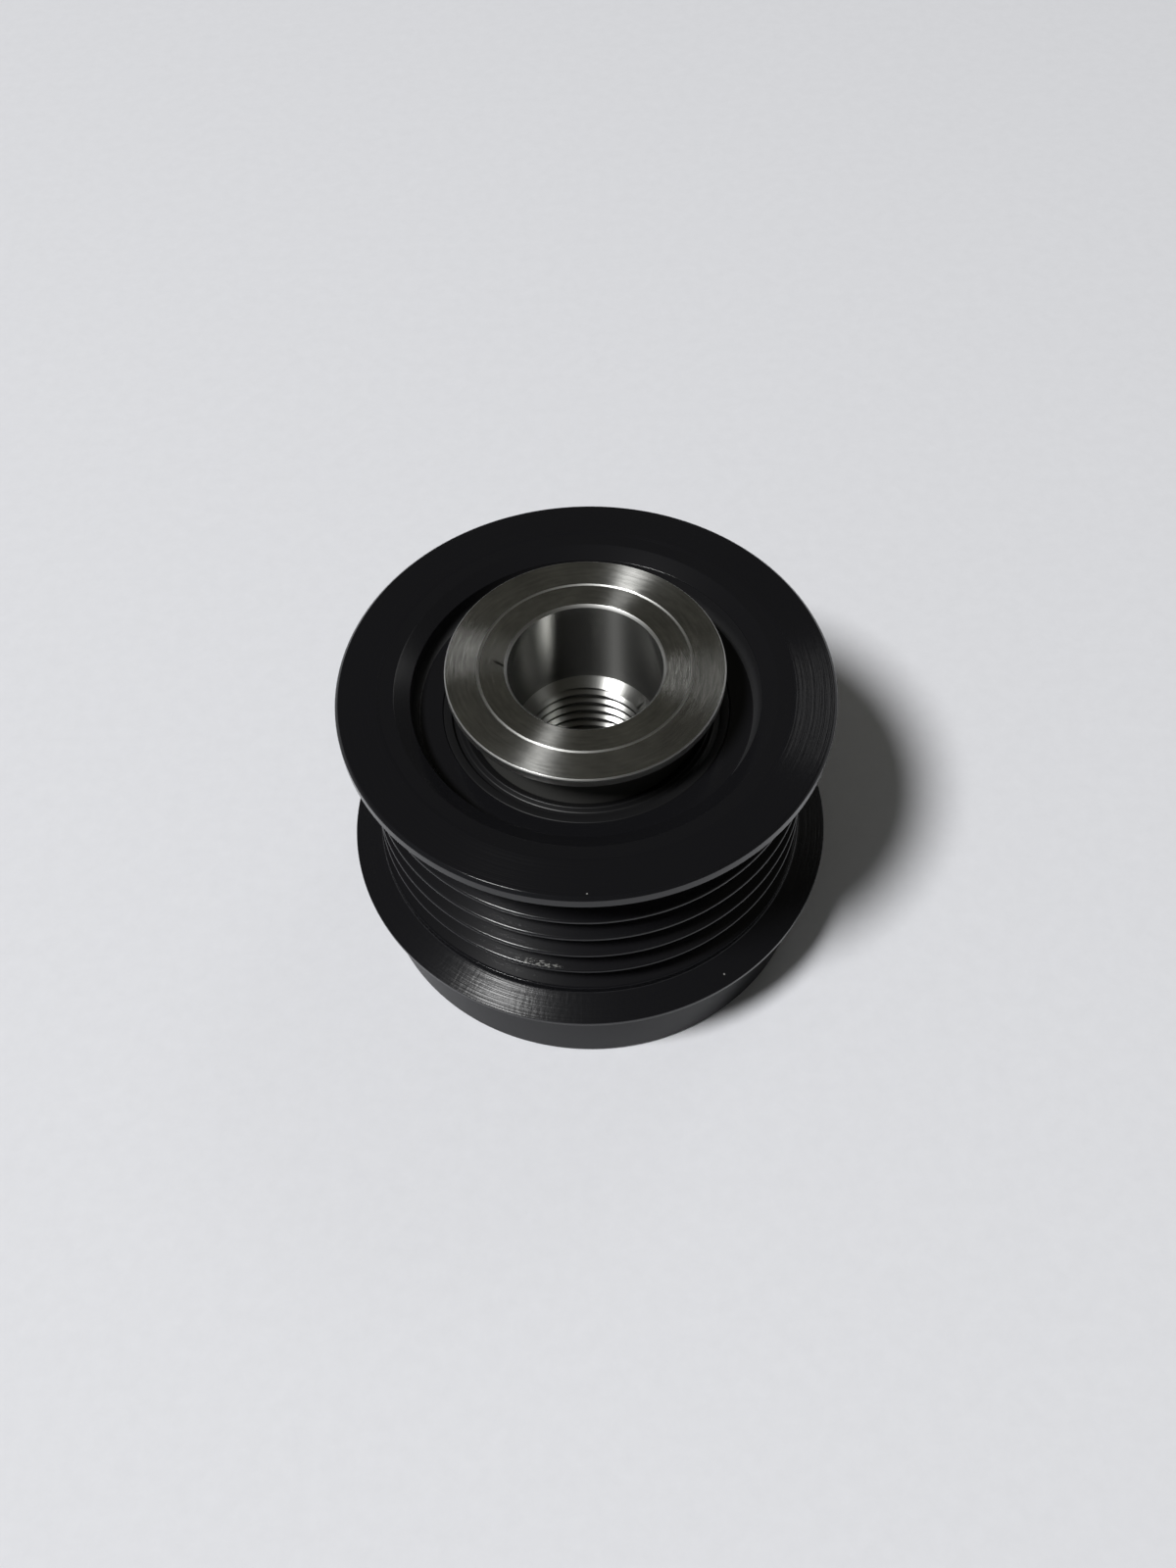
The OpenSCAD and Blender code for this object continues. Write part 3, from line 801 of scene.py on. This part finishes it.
def streaks(tree, width, arcs):
    """Short scratches along the rings, of a width in millimetres and so many to a radian."""
    radius, height, way = place_on_lathe(tree)
    across = add(tree, "ShaderNodeMath", {"operation": "ADD"}, None, {0: radius, 1: height}).outputs[0]
    across = add(tree, "ShaderNodeMath", {"operation": "DIVIDE"}, {1: width}, {0: across}).outputs[0]
    side = add(tree, "ShaderNodeVectorMath", {"operation": "NORMALIZE"}, None, {0: way}).outputs[0]
    side = add(tree, "ShaderNodeVectorMath", {"operation": "SCALE"}, {"Scale": arcs}, {0: side}).outputs[0]
    step = add(tree, "ShaderNodeCombineXYZ", None, None, {"Z": across}).outputs[0]
    point = add(tree, "ShaderNodeVectorMath", {"operation": "ADD"}, None, {0: side, 1: step}).outputs[0]
    values = {"Scale": 1.0, "Detail": 2.0, "Roughness": 0.5}
    return add(tree, "ShaderNodeTexNoise", None, values, {"Vector": point}).outputs["Fac"]


def mark(tree, place, direction, span, width):
    """Where a mark lies: 1 in its middle and 0 outside it."""
    point = place_in_mm(tree)
    offset = add(tree, "ShaderNodeVectorMath", {"operation": "SUBTRACT"}, {1: place}, {0: point}).outputs[0]
    along = add(
        tree, "ShaderNodeVectorMath", {"operation": "DOT_PRODUCT"}, {1: direction}, {0: offset}
    ).outputs["Value"]
    part = add(
        tree, "ShaderNodeVectorMath", {"operation": "SCALE"}, {0: direction}, {"Scale": along}
    ).outputs[0]
    across = add(
        tree, "ShaderNodeVectorMath", {"operation": "DISTANCE"}, None, {0: offset, 1: part}
    ).outputs["Value"]
    along = add(tree, "ShaderNodeMath", {"operation": "DIVIDE"}, {1: span / 2}, {0: along}).outputs[0]
    across = add(tree, "ShaderNodeMath", {"operation": "DIVIDE"}, {1: width / 2}, {0: across}).outputs[0]
    both = add(tree, "ShaderNodeCombineXYZ", None, None, {"X": along, "Y": across}).outputs[0]
    reach = add(tree, "ShaderNodeVectorMath", {"operation": "LENGTH"}, None, {0: both}).outputs["Value"]
    # The mark is full as far as half its reach, and then fades
    limits = {"From Min": 1.0, "From Max": 0.5}
    return add(tree, "ShaderNodeMapRange", None, limits, {"Value": reach}).outputs[0]


def torn(tree, where, width, arcs):
    """A mark broken up into short streaks along the rings."""
    limits = {"From Min": 0.5, "From Max": 0.68}
    pieces = add(tree, "ShaderNodeMapRange", None, limits, {"Value": streaks(tree, width, arcs)}).outputs[0]
    return add(tree, "ShaderNodeMath", {"operation": "MULTIPLY"}, None, {0: where, 1: pieces}).outputs[0]


def layered(tree, height, *layers):
    """A height with more on it. A layer is a socket and its depth."""
    for source, depth in layers:
        height = add(
            tree, "ShaderNodeMath", {"operation": "MULTIPLY_ADD"}, {1: depth}, {0: source, 2: height}
        ).outputs[0]
    return height


def lathed_steel(name, anisotropic, values, finish):
    """Turned or ground steel. Its finish, a function of its tree, gives the sockets that feed its shader."""
    material, tree = new_material(name)
    tangent = add(tree, "ShaderNodeTangent", {"direction_type": "RADIAL", "axis": "Z"}).outputs[0]
    shader = add(
        tree,
        "ShaderNodeBsdfPrincipled",
        None,
        {"Anisotropic": anisotropic, "Anisotropic Rotation": ACROSS_RINGS, **values},
        {"Tangent": tangent, **finish(tree)},
    )
    return shown(material, shader)


def dip_coat(
    name, finishes, index, roughness, depth, anisotropic=0.0, lean=0.0, hatch=0.0, wear=None, tear=None
):
    """Steel under a black dip coat.

    The depth of its turning marks and of its hatch are in millimetres, and its lean is a slope outwards.
    Wear is a mark where the coat is gone, and tear is the streaks that break it up.
    """

    def finish(tree):
        radius = place_on_lathe(tree)[0]
        sloped = add(tree, "ShaderNodeMath", {"operation": "MULTIPLY"}, {1: -lean}, {0: radius}).outputs[0]
        height = layered(
            tree,
            sloped,
            (lathe_marks(tree, COAT_FEED), depth),
            (streaks(tree, *COAT_SCRATCHES), depth / 2),
            (streaks(tree, *COAT_HATCH), hatch),
        )
        bump = add(tree, "ShaderNodeBump", None, {"Strength": 1.0, "Distance": MM}, {"Height": height})
        sockets = {"Normal": bump.outputs["Normal"]}
        if wear:
            where = mark(tree, *wear)
            if tear:
                where = torn(tree, where, *tear)
            sockets["Base Color"] = blended(tree, finishes.black_coat, finishes.chip, where)
        return sockets

    values = {"Base Color": finishes.black_coat, "IOR": index, "Roughness": roughness}
    return lathed_steel(name, anisotropic, values, finish)


def coated_faced_steel(finishes):
    """Faced rear land under the black dip coat: faint rings that fan a light out to soft wedges."""
    return dip_coat(
        "coated_faced_steel", finishes, 1.31, 0.17, 0.03, anisotropic=0.8, lean=0.075, wear=EDGE_SPECK
    )


def coated_coned_steel(finishes):
    """Turned front cone under the black dip coat: one soft grey wedge towards a light."""
    return dip_coat(
        "coated_coned_steel", finishes, 1.31, 0.26, 0.03, anisotropic=0.6, hatch=0.011, wear=CONE_SPECK
    )


def coated_dull_steel(finishes):
    """Nose under the black dip coat: thinner there, so it is duller and shows a light as a broad glow."""
    return dip_coat("coated_dull_steel", finishes, 1.28, 0.34, 0.001)


def coated_smooth_steel(finishes):
    """Formed grooves and rims under the black dip coat: a smooth satin gloss, scuffed on one rib."""
    return dip_coat(
        "coated_smooth_steel", finishes, 1.38, 0.16, 0.0005, wear=RIB_SCUFF, tear=SCUFF_SCRATCHES
    )


def ringed(depth, feed=HUB_FEED, strength=1.0):
    """A finish of plain turning marks, with their depth and their feed in millimetres."""

    def finish(tree):
        values = {"Strength": strength, "Distance": depth * MM}
        bump = add(tree, "ShaderNodeBump", None, values, {"Height": lathe_marks(tree, feed)})
        return {"Normal": bump.outputs["Normal"]}

    return finish


def faced_steel(finishes, line):
    """Faced steel: fine rings that stretch a light into a bright wedge across the face.

    Line is the radius, in millimetres, of the line turned into the face.
    """

    def finish(tree):
        radius = place_on_lathe(tree)[0]
        scratches = streaks(tree, *FACE_SCRATCHES)
        # The tool leaves the rings leaning towards the line, more so outside it
        across = add(tree, "ShaderNodeMath", {"operation": "SUBTRACT"}, {1: line}, {0: radius}).outputs[0]
        outside = add(tree, "ShaderNodeMath", {"operation": "MAXIMUM"}, {1: 0.0}, {0: across}).outputs[0]
        inside = add(tree, "ShaderNodeMath", {"operation": "MINIMUM"}, {1: 0.0}, {0: across}).outputs[0]
        sloped = add(tree, "ShaderNodeMath", {"operation": "MULTIPLY"}, {1: OUTER_LEAN}, {0: outside})
        height = layered(
            tree,
            sloped.outputs[0],
            (inside, -INNER_LEAN),
            (lathe_marks(tree, HUB_FEED), FACE_MARK_DEPTH),
            (scratches, FACE_SCRATCH_DEPTH),
        )
        bump = add(tree, "ShaderNodeBump", None, {"Strength": 1.0, "Distance": MM}, {"Height": height})
        roughness = add(
            tree,
            "ShaderNodeMapRange",
            None,
            {"From Min": -0.1, "From Max": 0.1, "To Min": INNER_ROUGH, "To Max": OUTER_ROUGH},
            {"Value": across},
        )
        # Handling and oil leave the face cloudy
        uneven = add(
            tree, "ShaderNodeMix", None, {"Factor": 0.5}, {"A": grain(tree, FACE_CLOUD), "B": scratches}
        ).outputs["Result"]
        steel = finishes.bare_steel
        shade = blended(tree, varied(steel, 0.35), varied(steel, 2.0), uneven)
        return {
            "Normal": bump.outputs["Normal"],
            "Roughness": roughness.outputs[0],
            "Base Color": blended(tree, shade, varied(steel, 0.2), mark(tree, *HUB_SCRATCH)),
        }

    return lathed_steel("faced_steel", 1.0, {"Metallic": 1.0}, finish)


def bored_steel(finishes):
    """Bored steel: smoother than the faced end, with rings that draw a light out along the bore."""
    values = {"Base Color": finishes.bored_steel, "Metallic": 0.92, "Roughness": 0.25}
    return lathed_steel("bored_steel", 1.0, values, ringed(0.0008))


def oiled_steel(finishes):
    """Turned neck in the recess: a film of oil and dust leaves it dark, with a dull gleam."""
    values = {"Base Color": finishes.oiled_steel, "Metallic": 0.5, "Roughness": 0.38, "IOR": 1.3}
    return lathed_steel("oiled_steel", 0.7, values, ringed(0.001))


def cut_steel(finishes):
    """Steel left by the drill and the thread tool: rougher than the bore, so it holds a broader glint."""
    values = {"Base Color": finishes.bored_steel, "Metallic": 1.0, "Roughness": 0.28}
    return lathed_steel("cut_steel", 0.8, values, ringed(0.002))


def edge_steel(finishes):
    """Edges broken with the tool's side: no rings to speak of, so they glint along a long arc."""
    values = {"Base Color": finishes.bare_steel, "Metallic": 1.0, "Roughness": 0.36}
    return lathed_steel("edge_steel", 0.0, values, ringed(0.001))


def ground_steel(finishes):
    """Hardened bearing steel, ground: bright and smooth with very fine grinding lines."""
    values = {"Base Color": finishes.bearing_steel, "Metallic": 1.0, "Roughness": 0.18}
    return lathed_steel("ground_steel", 0.0, values, ringed(0.0006, GROUND_FEED, strength=0.6))


def grained(name, base, change, size, roughness, depth, metallic=0.0, index=1.5):
    """A material that goes from its base colour to that colour times a change, over a grain.

    The grain's size and depth are in millimetres.
    """
    material, tree = new_material(name)
    noise = grain(tree, size)
    bump = add(tree, "ShaderNodeBump", None, {"Strength": 1.0, "Distance": depth * MM}, {"Height": noise})
    shader = add(
        tree,
        "ShaderNodeBsdfPrincipled",
        None,
        {"Metallic": metallic, "Roughness": roughness, "IOR": index},
        {"Base Color": blended(tree, base, varied(base, change), noise), "Normal": bump.outputs["Normal"]},
    )
    return shown(material, shader)


def recess_painted_steel(finishes):
    """Coated wall of the recess, painted light: a little paler and duller than the coat, to lift the shade
    on the wall.
    """
    return grained("recess_painted_steel", finishes.recess_painted_light, 0.7, 0.4, roughness=0.6, depth=0.001)


def phosphated_steel(finishes):
    """Phosphated sheet steel: dull dark grey with a crystal grain, which gives back little light."""
    base = finishes.case_steel
    return grained(
        "phosphated_steel", base, 1.6, 0.15, roughness=0.45, depth=0.002, metallic=0.1, index=1.32
    )


def moulded_rubber(finishes):
    """Moulded nitrile rubber: black, with a soft sheen from a film of grease."""
    return grained("moulded_rubber", finishes.rubber, 1.5, 0.4, roughness=0.38, depth=0.004, index=1.4)


def filled_nylon(finishes):
    """Glass-filled nylon: brown-black, with the fibres showing as a fine mottle."""
    return grained("filled_nylon", finishes.nylon, 1.7, 0.2, roughness=0.5, depth=0.005)


def tempered_steel(finishes):
    """Tempered spring steel: straw-coloured with a patchy blue oxide."""
    return grained("tempered_steel", finishes.spring, 0.7, 0.8, roughness=0.3, depth=0.001, metallic=1.0)


def sintered_bronze(finishes):
    """Sintered bronze: warm and open-grained, dull from its oil."""
    return grained("sintered_bronze", finishes.bronze, 0.6, 0.12, roughness=0.4, depth=0.003, metallic=1.0)


def aim_camera(stage):
    """Stands the camera where the photograph was taken from."""
    level = math.cos(CAMERA_PITCH)
    ahead = Vector((math.sin(CAMERA_YAW) * level, math.cos(CAMERA_YAW) * level, -math.sin(CAMERA_PITCH)))
    right = Vector((math.cos(CAMERA_YAW), -math.sin(CAMERA_YAW), 0))
    up = right.cross(ahead)
    turned_right = math.cos(CAMERA_ROLL) * right + math.sin(CAMERA_ROLL) * up
    turned_up = -math.sin(CAMERA_ROLL) * right + math.cos(CAMERA_ROLL) * up
    camera = bpy.data.objects.new("camera", bpy.data.cameras.new("camera"))
    bpy.context.scene.collection.objects.link(camera)
    turn = Matrix((turned_right, turned_up, -ahead)).transposed().to_4x4()
    camera.matrix_world = Matrix.Translation(CAMERA_PLACE) @ turn
    camera.data.lens = stage.lens
    camera.data.sensor_width = 36
    # The camera stands closer than its usual clip distance allows for
    camera.data.clip_start = 0.01
    bpy.context.scene.camera = camera


def hang_lamp(name, side, energy, size, distance):
    """Hangs a round lamp on one side of the pulley, turned towards it."""
    lamp = bpy.data.lights.new(name, "AREA")
    lamp.shape = "DISK"
    lamp.size = size
    lamp.energy = energy
    holder = bpy.data.objects.new(name, lamp)
    bpy.context.scene.collection.objects.link(holder)
    away = Vector(side).normalized()
    holder.location = away * distance
    holder.rotation_euler = away.to_track_quat("Z", "Y").to_euler()


def paper(stage):
    """Matt white paper: pale, with a faint mottle of its fibres; it can be looked through from below."""
    material, tree = new_material("paper")
    place = add(tree, "ShaderNodeTexCoord").outputs["Object"]
    values = {"Scale": MOTTLES, "Detail": 4.0, "Roughness": 0.7}
    noise = add(tree, "ShaderNodeTexNoise", None, values, {"Vector": place}).outputs["Fac"]
    shade = blended(tree, varied(stage.floor, 0.96), varied(stage.floor, 1.05), noise)
    front = add(tree, "ShaderNodeBsdfPrincipled", None, {"Roughness": 0.9}, {"Base Color": shade})
    back = add(tree, "ShaderNodeBsdfTransparent")
    side = add(tree, "ShaderNodeNewGeometry").outputs["Backfacing"]
    both = add(tree, "ShaderNodeMixShader", None, None, {0: side, 1: front.outputs[0], 2: back.outputs[0]})
    return shown(material, both)


def room(stage):
    """Dim room with a pale backdrop at the level of the floor."""
    world = bpy.data.worlds.new("room")
    bpy.context.scene.world = world
    world.use_nodes = True
    tree = world.node_tree
    tree.nodes.clear()
    direction = add(tree, "ShaderNodeTexCoord").outputs["Generated"]
    rise = add(tree, "ShaderNodeSeparateXYZ", None, None, {0: direction}).outputs["Z"]
    nearness = add(
        tree, "ShaderNodeVectorMath", {"operation": "DOT_PRODUCT"}, {1: GLOW_SIDE}, {0: direction}
    ).outputs["Value"]
    shade = stage.horizon
    for tone, source, low, high in (
        (stage.room, rise, *BACKDROP_FADE),
        (stage.glow, nearness, math.cos(GLOW_REACH), 1.0),
    ):
        where = add(
            tree,
            "ShaderNodeMapRange",
            {"interpolation_type": "SMOOTHSTEP"},
            {"From Min": low, "From Max": high},
            {"Value": source},
        )
        shade = blended(tree, shade, tone, where.outputs[0])
    back = add(tree, "ShaderNodeBackground", None, None, {"Color": shade})
    add(tree, "ShaderNodeOutputWorld", None, None, {"Surface": back.outputs[0]})


class PULLEY_OT_stage(Operator):
    """Lay the paper floor, hang the lamps and stand the camera"""

    bl_idname = "pulley.stage"
    bl_label = "Stage"

    def execute(self, context):
        stage = context.scene.pulley_stage
        bpy.ops.object.select_all(action="DESELECT")
        bpy.ops.mesh.primitive_plane_add(size=FLOOR_SIDE)
        floor = context.object
        floor.name = "floor"
        floor.data.materials.append(paper(stage))
        room(stage)
        hang_lamp("key", KEY_SIDE, stage.key_power, stage.key_size, stage.key_distance)
        hang_lamp("window", WINDOW_SIDE, stage.window_power, stage.window_size, stage.window_distance)
        aim_camera(stage)
        context.scene.view_settings.view_transform = "Standard"
        return {"FINISHED"}


class PULLEY_PT_panel(Panel):
    """Sizes, finishes and steps of the pulley."""

    bl_idname = "PULLEY_PT_panel"
    bl_label = "Alternator Pulley"
    bl_space_type = "VIEW_3D"
    bl_region_type = "UI"
    bl_category = "Pulley"

    def draw(self, context):
        for group, kind in GROUPS.items():
            box = self.layout.box()
            box.label(text=kind.__doc__)
            for name in kind.__annotations__:
                box.prop(getattr(context.scene, group), name)
        for step in STEPS:
            self.layout.operator(step.bl_idname)


STEPS = (PULLEY_OT_outer_ring, PULLEY_OT_hub, PULLEY_OT_seals, PULLEY_OT_inner_parts, PULLEY_OT_stage)
CLASSES = (*GROUPS.values(), *STEPS, PULLEY_PT_panel)


def register():
    """Adds the property groups, the operators and the panel."""
    for kind in CLASSES:
        bpy.utils.register_class(kind)
    for name, kind in GROUPS.items():
        setattr(bpy.types.Scene, name, PointerProperty(type=kind))


def unregister():
    """Takes them away again."""
    for name in GROUPS:
        delattr(bpy.types.Scene, name)
    for kind in reversed(CLASSES):
        bpy.utils.unregister_class(kind)


def main():
    """Builds the pulley and its stage."""
    register()
    for step in STEPS:
        family, name = step.bl_idname.split(".")
        getattr(getattr(bpy.ops, family), name)()


if __name__ == "__main__":
    main()
